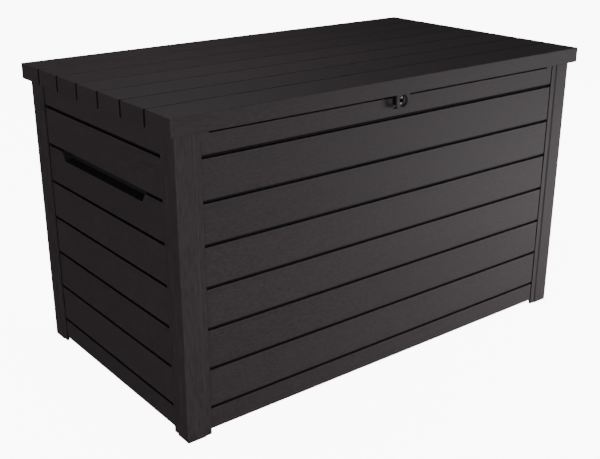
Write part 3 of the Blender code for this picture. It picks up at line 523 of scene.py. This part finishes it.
def grained_resin(name, axis, board=None, stretch=1.0):
    """Dark resin moulded with fine wood grain along an axis, drawn out by stretch, with painted
    shade on marked faces.

    board is (axis, start, pitch): the boards' joints, so that each board gets its own tone.
    """
    resin = settings().resin
    graph = Graph(name)
    fibres = graph.noise(graph.place(grain_scale(axis, FIBRES[0] / stretch, FIBRES[1])),
                         detail=3, roughness=0.6)
    streaks = graph.noise(
        graph.place(grain_scale(axis, STREAKS[0] / stretch, STREAKS[1]), (3.1, 1.7, 5.3)),
        detail=3, roughness=0.6, distortion=0.4)
    clouds = graph.noise(graph.place(grain_scale(axis, *CLOUDS[:2]), (7.7, 2.9, 0.4)), detail=2)
    tone = (graph.spread(fibres, 0.38, 0.62) * FIBRES[2]
            + graph.spread(streaks, 0.38, 0.62) * STREAKS[2]
            + graph.spread(clouds, 0.36, 0.64) * CLOUDS[2])
    if board is not None:
        board_axis, start, pitch = board
        where = graph.add("ShaderNodeTexCoord", output="Object")
        parts = graph.add("ShaderNodeSeparateXYZ", inputs={0: where}, output=GRAIN_AXES[board_axis])
        number = ((parts - start) / pitch).floor()
        shade = graph.add("ShaderNodeTexWhiteNoise", {"noise_dimensions": "1D"}, {"W": number})
        tone = tone * (1 - BOARD_SHARE) + shade * BOARD_SHARE
    # Painted shade: faces marked on the mesh are darkened towards the painted-shade colour and made
    # duller
    painted_shade = graph.stored(PAINTED_SHADE)
    colour = graph.mix(tone, with_alpha(resin.dark), with_alpha(resin.light))
    colour = graph.mix(painted_shade, colour, with_alpha(resin.painted_shade))
    height = graph.spread(fibres, 0.3, 0.7) * 0.6 + graph.spread(streaks, 0.3, 0.7) * 0.4
    dull = resin.roughness - 0.06 + tone * 0.12
    return graph.surface(
        Base_Color=colour,
        Roughness=dull + painted_shade * (1.0 - resin.roughness),
        Specular_IOR_Level=resin.gloss,
        Normal=graph.bump(height, resin.relief, 0.0005))


def plain_resin(name):
    """Smooth dark resin with a fine moulded texture."""
    resin = settings().resin
    graph = Graph(name)
    fine = graph.noise(graph.place((420, 420, 420)), detail=3)
    clouds = graph.noise(graph.place((14, 14, 14)), detail=2)
    tone = graph.spread(clouds, 0.3, 0.7) * 0.6 + graph.spread(fine, 0.3, 0.7) * 0.4
    colour = graph.mix(tone, with_alpha([part * 0.85 for part in resin.plain]),
                       with_alpha([part * 1.2 for part in resin.plain]))
    return graph.surface(
        Base_Color=colour,
        Roughness=0.50 + tone * 0.1,
        Specular_IOR_Level=resin.gloss,
        Normal=graph.bump(fine, 0.2, 0.0002))


def zinc_steel(name):
    """Zinc-plated steel with fine turning marks and a slightly cloudy sheen."""
    metal = settings().metal
    graph = Graph(name)
    marks = graph.noise(graph.place((900, 2600, 2600)), detail=2)
    clouds = graph.noise(graph.place((90, 90, 90)), detail=3)
    tone = graph.spread(clouds, 0.3, 0.7)
    colour = graph.mix(tone, with_alpha(metal.zinc_dark), with_alpha(metal.zinc_light))
    return graph.surface(Base_Color=colour, Roughness=0.26 + tone * 0.14, Metallic=1.0,
                         Normal=graph.bump(marks, 0.12, 0.0001))


def black_steel(name):
    """Black powder coat: a fine orange-peel skin over steel."""
    metal = settings().metal
    graph = Graph(name)
    peel = graph.noise(graph.place((520, 520, 520)), detail=2)
    clouds = graph.noise(graph.place((35, 35, 35)), detail=2)
    tone = graph.spread(clouds, 0.3, 0.7)
    colour = graph.mix(tone, with_alpha(metal.coat_dark), with_alpha(metal.coat_light))
    return graph.surface(Base_Color=colour, Roughness=0.34 + tone * 0.12,
                         Normal=graph.bump(peel, 0.25, 0.0002))


# Places shared by the pieces

def skirt_bottom():
    return HEIGHT - settings().lid.skirt_height


def groove_heights():
    boards = settings().boards
    return [boards.first_groove + boards.groove_pitch * number for number in range(boards.grooves)]


def eye_middle():
    """The x and z of the middle of the lock eye."""
    low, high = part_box("lock_eye")
    return (low.x + high.x) / 2, (low.z + high.z) / 2


def turned(mesh, side, place):
    """Turn a wall that was drawn facing -Y, and move it to its side of the box."""
    turn = math.radians({"front": 0, "right": 90, "rear": 180, "left": -90}[side])
    bmesh.ops.transform(mesh, verts=mesh.verts,
                        matrix=Matrix.Translation(place) @ Matrix.Rotation(turn, 4, "Z"))
    return mesh


# Walls. Each one is drawn along X, facing -Y, with the post faces at y = 0.

def wall_blank(run, node):
    """Boards between the posts, a tongue behind each post and the ledge that the floor rests on."""
    boards, posts = settings().boards, settings().posts
    low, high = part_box(node)
    inner = boards.setback + boards.thickness
    half = run / 2 - posts.leg - boards.seam
    tongue = run / 2 - posts.core - GAP
    tongue_front = posts.leg_wall + GAP
    side = [(half, boards.setback), (half, tongue_front), (tongue, tongue_front), (tongue, inner)]
    mesh = add_prism(bmesh.new(), side + [(-x, y) for x, y in reversed(side)], "Z", low.z, high.z)
    ledge = add_block(bmesh.new(), (-half, inner - OVERLAP, low.z),
                      (half, inner + boards.ledge, low.z + boards.ledge_height))
    return join(mesh, ledge), half


def cut_grooves(mesh, half):
    """The grooves between the boards, and the shallow joints inside."""
    boards = settings().boards
    inner = boards.setback + boards.thickness
    heights = groove_heights()
    for number, height in enumerate(heights):
        width = boards.top_groove if number == len(heights) - 1 else boards.groove
        tool = add_block(bmesh.new(), (-half - GAP / 2, -THROUGH, height - width / 2),
                         (half + GAP / 2, boards.setback + boards.groove_depth, height + width / 2))
        rise = boards.inner_groove / 2
        add_block(tool, (-half, inner - boards.inner_groove_depth, height - rise),
                  (half, inner + THROUGH, height + rise))
        mesh = cut(mesh, tool)
    return mesh


def round_boards(mesh, pocket=None, pocket_painted_shade=0.0):
    """Round every edge of the boards' outer face, and note the painted shade on what lies behind
    it.

    pocket is the low and high (x, z) corner of a pocket deeper than the grooves.
    """
    boards = settings().boards
    edges = sharp_edges(mesh, lambda point: close_to(point.y, boards.setback))
    round_edges(mesh, edges, boards.rounding)
    start = boards.setback + boards.rounding * 1.2
    floor = boards.setback + boards.groove_depth + TINY

    # Painted shade: full in the grooves, lighter on the boards' ends in the seam, and the pocket's
    # own share inside a pocket
    def painted_shade_of(point, normal):
        if point.y < start or normal.y > 0.5:
            return 0.0
        if pocket is not None:
            (left, bottom), (right, top) = pocket
            if left < point.x < right and bottom < point.z < top:
                return pocket_painted_shade
        if point.y > floor:
            return 0.0
        return boards.seam_painted_shade if abs(normal.x) > LOOKS_ALONG else 1.0

    mark_painted_shade(mesh, painted_shade_of)
    return mesh


def long_wall(node):
    """The front or rear wall, with the rebate under the lid's skirt."""
    boards = settings().boards
    run = LENGTH - 2 * overhang()
    mesh, half = wall_blank(run, node)
    mesh = cut_grooves(mesh, half)
    reach = half - boards.rebate_inset
    low = (-reach, -THROUGH, skirt_bottom() - boards.rebate_height)
    high = (reach, boards.setback + boards.rebate_depth, skirt_bottom() + THROUGH)
    return cut(mesh, add_block(bmesh.new(), low, high))


def overhang():
    """How far the lid stands out past the posts."""
    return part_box("post_front_left")[0].x - CAD_LOW.x


def handle_pocket():
    """A handle pocket's cutter and its housing, drawn along X."""
    boards, handle = settings().boards, settings().handle
    top = groove_heights()[handle.groove_number] + boards.groove / 2 + handle.rise
    bottom = top - handle.opening
    face, back = boards.setback, boards.setback + handle.depth
    outline = [(-THROUGH, bottom), (face, bottom), (back, bottom + handle.fall),
               (back, top + handle.hook), (face + handle.lip, top + handle.hook),
               (face + handle.lip, top), (-THROUGH, top)]
    pocket = add_prism(bmesh.new(), outline, "X", -1, 1)
    for point in pocket.verts:
        rise = (point.co.z - bottom) / handle.opening
        width = handle.bottom_width + (handle.top_width - handle.bottom_width) * rise
        point.co.x = math.copysign(width / 2, point.co.x)
    reach = max(point.co.x for point in pocket.verts) + handle.housing
    root = boards.setback + boards.thickness - OVERLAP
    housing = add_block(bmesh.new(), (-reach, root, bottom - handle.housing),
                        (reach, back + handle.housing, top + handle.hook + handle.housing))
    return pocket, housing


def end_wall(node):
    """An end wall with its handle pocket."""
    mesh, half = wall_blank(DEPTH - 2 * overhang(), node)
    mesh = cut_grooves(mesh, half)
    pocket, housing = handle_pocket()
    mesh = join(mesh, housing)
    reach = max(point.co.x for point in pocket.verts) + TINY
    heights = [point.co.z for point in pocket.verts]
    region = (-reach, min(heights) - TINY), (reach, max(heights) + TINY)
    # the inside of the handle pocket gets painted shade
    return round_boards(cut(mesh, pocket), region, settings().handle.shade)


class DECKBOX_OT_long_walls(bpy.types.Operator):
    """Build the front and rear walls"""
    bl_idname = "deck_box.long_walls"
    bl_label = "Front and rear walls"

    def execute(self, context):
        boards, lock = settings().boards, settings().lock
        resin = grained_resin("boards_along_x", "X",
                              ("Z", boards.first_groove, boards.groove_pitch))
        x, z = eye_middle()
        left, right = x - lock.pocket_width / 2, x + lock.pocket_width / 2
        bottom = z - lock.pocket_drop
        pocket = add_block(bmesh.new(), (left, -THROUGH, bottom),
                           (right, boards.setback + lock.pocket_depth, HEIGHT))
        region = (left - TINY, bottom - TINY), (right + TINY, HEIGHT)
        front = round_boards(cut(long_wall("front_wall"), pocket), region)
        depth = DEPTH / 2 - overhang()
        finish_piece("front_boards", turned(front, "front", (0, -depth, 0)), resin, "box",
                     "wall_resin", "front_wall")
        rear = round_boards(long_wall("rear_wall"))
        finish_piece("rear_boards", turned(rear, "rear", (0, depth, 0)), resin, "box",
                     "wall_resin", "rear_wall")
        return {"FINISHED"}


class DECKBOX_OT_end_walls(bpy.types.Operator):
    """Build the left and right walls with their handle pockets"""
    bl_idname = "deck_box.end_walls"
    bl_label = "End walls"

    def execute(self, context):
        boards = settings().boards
        resin = grained_resin("boards_along_y", "Y",
                              ("Z", boards.first_groove, boards.groove_pitch))
        reach = LENGTH / 2 - overhang()
        for side, sign in (("left", -1), ("right", 1)):
            wall = end_wall(side + "_wall")
            finish_piece(side + "_boards", turned(wall, side, (sign * reach, 0, 0)), resin, "box",
                         "wall_resin", side + "_wall")
        return {"FINISHED"}


class DECKBOX_OT_posts(bpy.types.Operator):
    """Build the four corner posts"""
    bl_idname = "deck_box.posts"
    bl_label = "Corner posts"

    def execute(self, context):
        resin = grained_resin("post_resin", "Z", stretch=3.0)
        corners = (("front_left", -1, -1, 0), ("front_right", 1, -1, 90),
                   ("rear_right", 1, 1, 180), ("rear_left", -1, 1, -90))
        for name, x_side, y_side, turn in corners:
            mesh = self.corner_post("post_" + name)
            place = (x_side * (LENGTH / 2 - overhang()), y_side * (DEPTH / 2 - overhang()), 0)
            turn = Matrix.Rotation(math.radians(turn), 4, "Z")
            bmesh.ops.transform(mesh, verts=mesh.verts, matrix=Matrix.Translation(place) @ turn)
            finish_piece("corner_" + name, mesh, resin, "box", "post_resin", "post_" + name)
        return {"FINISHED"}

    def corner_post(self, node):
        """A post with its outer corner at the origin and its legs along +X and +Y."""
        posts = settings().posts
        low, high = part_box(node)
        leg = [(posts.face, 0), (posts.face + posts.step, posts.strip_setback),
               (posts.leg, posts.strip_setback), (posts.leg, posts.leg_wall),
               (posts.core, posts.leg_wall), (posts.core, posts.core)]
        outline = [(0, 0)] + leg + [(y, x) for x, y in reversed(leg[:-1])]
        mesh = add_prism(bmesh.new(), outline, "Z", low.z, high.z)
        upright = [edge for edge in mesh.edges if close_to(edge.verts[0].co.x, edge.verts[1].co.x)
                   and close_to(edge.verts[0].co.y, edge.verts[1].co.y)]
        stepped = [edge for edge in upright if edge.verts[0].co.xy.length >= TINY
                   and min(edge.verts[0].co.xy) < posts.strip_setback + TINY]
        round_edges(mesh, stepped, posts.edge_rounding)
        corner = [edge for edge in mesh.edges
                  if all(point.co.xy.length < TINY for point in edge.verts)]
        round_edges(mesh, corner, posts.corner_rounding, segments=5)
        feet = sharp_edges(mesh, lambda point: close_to(point.z, low.z))
        round_edges(mesh, feet, posts.edge_rounding / 2, segments=2)
        end = posts.leg - posts.edge_rounding

        def painted_shade_of(point, normal):
            """Full painted shade on the legs' ends, which face the boards across the seam."""
            at_end = max(point.xy) > end + TINY and min(point.xy) < posts.leg_wall
            return float(at_end and max(normal.xy) > 0.5)

        mark_painted_shade(mesh, painted_shade_of)
        return mesh


class DECKBOX_OT_floor(bpy.types.Operator):
    """Give the floor panel and its skids their finish"""
    bl_idname = "deck_box.floor"
    bl_label = "Floor"

    def execute(self, context):
        give_finish("floor_panel", plain_resin("floor_resin"))
        return {"FINISHED"}


class DECKBOX_OT_lid(bpy.types.Operator):
    """Build the planked lid with its skirt, ribs and lock tab"""
    bl_idname = "deck_box.lid"
    bl_label = "Lid"

    def execute(self, context):
        lid = settings().lid
        resin = grained_resin("planks_along_x", "X", ("Y", -DEPTH / 2, DEPTH / lid.planks))
        mesh = add_block(bmesh.new(), (-LENGTH / 2, -DEPTH / 2, skirt_bottom()),
                         (LENGTH / 2, DEPTH / 2, HEIGHT))
        round_edges(mesh, list(mesh.edges), lid.edge_rounding)
        mesh = cut(mesh, self.hollow())
        mesh = join(mesh, self.tab())
        mesh = cut(mesh, self.plank_cuts())
        mesh = cut(mesh, self.end_slots())
        edges = sharp_edges(mesh, self.on_the_outside)
        round_edges(mesh, edges, lid.lip_rounding, segments=2)
        mark_painted_shade(mesh, self.painted_shade_of)
        finish_piece("planked_lid", mesh, resin, "lid", "lid_resin", "lid")
        return {"FINISHED"}

    def on_the_outside(self, point):
        """Whether a point lies on the lid's outer skin, where grooves and slots open."""
        lid = settings().lid
        inside = min(LENGTH / 2 - abs(point.x), HEIGHT - point.z)
        above = point.z > skirt_bottom() + lid.edge_rounding
        return inside < lid.edge_rounding / 2 + TINY and above

    def painted_shade_of(self, point, normal):
        """The painted shade on a face in an end slot or a plank groove, or on the tab's side or
        hole.
        """
        lid, lock = settings().lid, settings().lock
        from_end, from_top = LENGTH / 2 - abs(point.x), HEIGHT - point.z
        if point.z < skirt_bottom() - TINY:
            beside = abs(normal.x) > LOOKS_ALONG or self.in_the_hole(point, normal)
            return lock.side_painted_shade * float(beside)
        if min(abs(point.y - place) for place in self.joints()) > lid.slot / 2 + TINY:
            return 0.0
        if lid.lip_rounding < from_end < lid.slot_depth + TINY:
            return 1.0
        return lid.groove_painted_shade * float(lid.lip_rounding < from_top < lid.groove_depth + TINY)

    def in_the_hole(self, point, normal):
        """Whether a face belongs to the tab's oval hole or to the sloping ring round it."""
        lock = settings().lock
        x, z = eye_middle()
        across = (point.x - x) / (lock.hole_width / 2 + lock.dish)
        up = (point.z - z) / (lock.hole_height / 2 + lock.dish)
        return abs(normal.y) < LOOKS_STRAIGHT and math.hypot(across, up) < 1.0

    def joints(self):
        planks = settings().lid.planks
        return [DEPTH * (number / planks - 0.5) for number in range(1, planks)]

    def hollow(self):
        """The space inside the lid, with slots left for the ribs."""
        lid = settings().lid
        x, y = LENGTH / 2 - lid.skirt_wall, DEPTH / 2 - lid.skirt_wall
        roof = HEIGHT - lid.deck
        mesh = add_block(bmesh.new(), (-x, -y, skirt_bottom() - THROUGH), (x, y, roof))
        ribs = bmesh.new()
        for number in range(lid.ribs):
            place = (number - (lid.ribs - 1) / 2) * lid.rib_spacing
            add_block(ribs, (place - lid.rib_width / 2, -y - THROUGH, roof - lid.rib_height),
                      (place + lid.rib_width / 2, y + THROUGH, roof + THROUGH))
        return cut(mesh, ribs)

    def tab(self):
        """The lock tab with its oval hole."""
        lock = settings().lock
        x, z = eye_middle()
        left, right = x - lock.tab_width / 2, x + lock.tab_width / 2
        bottom, root = skirt_bottom() - lock.tab_drop, skirt_bottom() + lock.tab_root
        radius = lock.tab_rounding
        outline = [(left, root), (right, root)]
        outline += arc((right - radius, bottom + radius), radius, 0, -90, CORNER_STEPS)
        outline += arc((left + radius, bottom + radius), radius, -90, -180, CORNER_STEPS)
        front = -DEPTH / 2 + lock.tab_setback
        mesh = add_prism(bmesh.new(), outline, "Y", front, front + lock.tab_thickness)
        hole = (lock.hole_width / 2, lock.hole_height / 2)
        oval = arc((x, z), hole, 0, 360, OVAL_STEPS)[:-1]
        mesh = cut(mesh, add_prism(bmesh.new(), oval, "Y", front - THROUGH, front + THROUGH))
        wide = (lock.hole_width / 2 + lock.dish, lock.hole_height / 2 + lock.dish)
        oval = arc((x, z), wide, 0, 360, OVAL_STEPS)[:-1]
        dish = add_prism(bmesh.new(), oval, "Y", front - TINY * 5, front + lock.dish_depth)
        for point in dish.verts:
            if point.co.y > front:
                point.co.x = x + (point.co.x - x) * hole[0] / wide[0]
                point.co.z = z + (point.co.z - z) * hole[1] / wide[1]
        mesh = cut(mesh, dish)
        face = sharp_edges(mesh, lambda point: close_to(point.y, front))
        round_edges(mesh, face, lock.tab_edge, segments=2)
        return mesh

    def plank_cuts(self):
        """Cutters for the grooves between the planks."""
        lid = settings().lid
        mesh = bmesh.new()
        reach = LENGTH / 2 - lid.slot_depth + OVERLAP
        for place in self.joints():
            add_block(mesh, (-reach, place - lid.groove / 2, HEIGHT - lid.groove_depth),
                      (reach, place + lid.groove / 2, HEIGHT + THROUGH))
        return mesh

    def end_slots(self):
        """Cutters for the upright slots at the planks' ends."""
        lid = settings().lid
        mesh = bmesh.new()
        inner, outer = LENGTH / 2 - lid.slot_depth, LENGTH / 2 + THROUGH
        for place in self.joints():
            for side in (-1, 1):
                add_block(mesh, (side * inner, place - lid.slot / 2, skirt_bottom() - THROUGH),
                          (side * outer, place + lid.slot / 2, HEIGHT + THROUGH / 2))
        return mesh


class DECKBOX_OT_lock_eye(bpy.types.Operator):
    """Build the eye behind the lock tab"""
    bl_idname = "deck_box.lock_eye"
    bl_label = "Lock eye"

    def execute(self, context):
        lock = settings().lock
        low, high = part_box("lock_eye")
        x, z = eye_middle()
        side = [(high.x, low.y), (high.x, high.y), (high.x - lock.leg, high.y),
                (high.x - lock.leg, low.y + lock.plate)]
        outline = side + [(2 * x - across, y) for across, y in reversed(side)]
        mesh = add_prism(bmesh.new(), outline, "Z", low.z, high.z)
        hole = add_rod(bmesh.new(), (x, low.y - THROUGH, z), (x, low.y + THROUGH / 2, z),
                       lock.eye_hole, OVAL_STEPS)
        mesh = cut(mesh, hole)
        face = sharp_edges(mesh, lambda point: close_to(point.y, low.y))
        round_edges(mesh, face, lock.eye_edge)
        finish_piece("padlock_eye", mesh, black_steel("eye_steel"), "box", "hinge_resin",
                     "lock_eye")
        return {"FINISHED"}


class DECKBOX_OT_hardware(bpy.types.Operator):
    """Give the hinges, screws, tubes and struts their finishes"""
    bl_idname = "deck_box.hardware"
    bl_label = "Hinges, tubes and struts"

    def execute(self, context):
        finishes = {"hinge_resin": plain_resin("moulded_resin"),
                    "steel": zinc_steel("zinc_steel"),
                    "black_steel": black_steel("black_steel")}
        for part in frame["record"]["subparts"]:
            finish = finishes.get(part["material_slot"])
            if finish is not None and part["node"] != "lock_eye":
                give_finish(part["node"], finish)
        return {"FINISHED"}


class DECKBOX_OT_stage(bpy.types.Operator):
    """Build the studio floor with its backdrop, the lights and the camera"""
    bl_idname = "deck_box.stage"
    bl_label = "Floor, lights and camera"

    def execute(self, context):
        stage = settings().stage
        mesh = bmesh.new()
        bmesh.ops.create_grid(mesh, x_segments=1, y_segments=1, size=FLOOR_REACH)
        bmesh.ops.translate(mesh, verts=mesh.verts, vec=(0, 0, -FLOOR_DROP))
        floor = mesh_object("studio_floor", mesh)
        mesh = bmesh.new()
        bmesh.ops.create_uvsphere(mesh, u_segments=48, v_segments=24, radius=BACKDROP_RADIUS)
        bmesh.ops.reverse_faces(mesh, faces=mesh.faces)
        backdrop = mesh_object("studio_backdrop", mesh)
        backdrop.visible_shadow = False
        pale = Graph("studio_floor").surface(
            Base_Color=with_alpha(stage.floor), Roughness=0.9,
            Emission_Color=with_alpha(stage.floor), Emission_Strength=stage.floor_glow)
        for item in (floor, backdrop):
            item.data.materials.append(pale)
            item.visible_diffuse = False
            item.visible_glossy = False
            item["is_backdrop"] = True
        for name, place, target, size, share, spread, shown in LIGHTS:
            light = self.area_light(name, place, target, size, share * stage.power)
            light.data.spread = math.radians(spread)
            light.visible_diffuse = shown != "sheen"
            light.visible_glossy = shown != "dull"
        world = bpy.data.worlds.new("studio")
        world.use_nodes = True
        background = world.node_tree.nodes["Background"]
        background.inputs["Color"].default_value = (1, 1, 1, 1)
        background.inputs["Strength"].default_value = stage.sky
        context.scene.world = world
        self.camera(context, stage.lens)
        return {"FINISHED"}

    def area_light(self, name, place, target, size, power):
        """A square light that looks from one place at another."""
        data = bpy.data.lights.new(name, "AREA")
        data.shape = "SQUARE"
        data.size = size
        data.energy = power
        light = bpy.data.objects.new(name, data)
        light.location = place
        light.rotation_euler = (Vector(target) - Vector(place)).to_track_quat("-Z", "Y").to_euler()
        bpy.context.scene.collection.objects.link(light)
        return light

    def camera(self, context, lens):
        data = bpy.data.cameras.new("camera")
        data.sensor_width = 36
        data.lens = lens
        data.clip_end = 100
        camera = bpy.data.objects.new("camera", data)
        camera.location = CAMERA_PLACE
        camera.rotation_euler = [math.radians(angle) for angle in CAMERA_TURN]
        context.scene.collection.objects.link(camera)
        context.scene.camera = camera


# Sizes of the studio, and the camera's place and its turn in degrees
FLOOR_REACH = 30
FLOOR_DROP = 0.0005
BACKDROP_RADIUS = 28
CAMERA_PLACE = (-1.7714, -2.2098, 1.3827)
CAMERA_TURN = (69.1314, 0, -38.0538)

# Lights: name, place, what it is aimed at, size, its power as a share of the stage's power, how
# wide its beam spreads in degrees, and whether it gives the pieces dull light, sheen or both
LIGHTS = (
    ("key_light", (2.3, -2.3, 0.12), (0.55, -0.4, -0.3), 1.4, 0.225, 70, "both"),
    ("front_light", (-1.4, -3.4, 0.5), (-0.3, -0.4, 0.5), 1.2, 0.38, 180, "both"),
    ("left_light", (-4.6, -1.5, 0.6), (-0.7, 0.0, 0.35), 1.8, 0.56, 180, "both"),
    ("edge_light", (-2.6, -2.6, 0.4), (-0.7, -0.4, 0.5), 0.5, 0.45, 180, "sheen"),
    ("top_light", (-0.35, 0.2, 2.3), (-0.45, 0.2, 0.8), 0.5, 0.125, 180, "both"),
    ("rear_light", (-2.6, 3.6, 0.9), (0.0, 0.3, 0.4), 1.6, 0.6, 180, "dull"),
    ("right_light", (4.2, 0.4, 0.7), (0.7, 0.0, 0.4), 1.4, 0.35, 180, "both"),
)

OPERATORS = (DECKBOX_OT_long_walls, DECKBOX_OT_end_walls, DECKBOX_OT_posts, DECKBOX_OT_floor,
             DECKBOX_OT_lid, DECKBOX_OT_lock_eye, DECKBOX_OT_hardware, DECKBOX_OT_stage)


class DECKBOX_PT_panel(bpy.types.Panel):
    """The deck box's pieces and settings in the sidebar"""
    bl_idname = "DECKBOX_PT_panel"
    bl_label = "Deck Box"
    bl_space_type = "VIEW_3D"
    bl_region_type = "UI"
    bl_category = "Deck Box"

    def draw(self, context):
        layout = self.layout
        for operator in OPERATORS:
            layout.operator(operator.bl_idname)
        values = context.scene.deck_box
        for group in values.__annotations__:
            box = layout.box()
            box.label(text=group.capitalize())
            for key in getattr(values, group).__annotations__:
                box.prop(getattr(values, group), key)


CLASSES = (DeckBoxBoards, DeckBoxPosts, DeckBoxLid, DeckBoxHandle, DeckBoxLock, DeckBoxResin,
           DeckBoxMetal, DeckBoxStage, DeckBoxSettings) + OPERATORS + (DECKBOX_PT_panel,)


def register():
    for item in CLASSES:
        bpy.utils.register_class(item)
    bpy.types.Scene.deck_box = PointerProperty(type=DeckBoxSettings)


def unregister():
    del bpy.types.Scene.deck_box
    for item in reversed(CLASSES):
        bpy.utils.unregister_class(item)


def main():
    """Build every piece in order."""
    register()
    for operator in OPERATORS:
        group, name = operator.bl_idname.split(".")
        getattr(getattr(bpy.ops, group), name)()
    boxes = {"cad": CAD_BOUNDS, "visual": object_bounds()}
    {key: [list(low), list(high)] for key, (low, high) in boxes.items()}


if __name__ == "__main__":
    main()
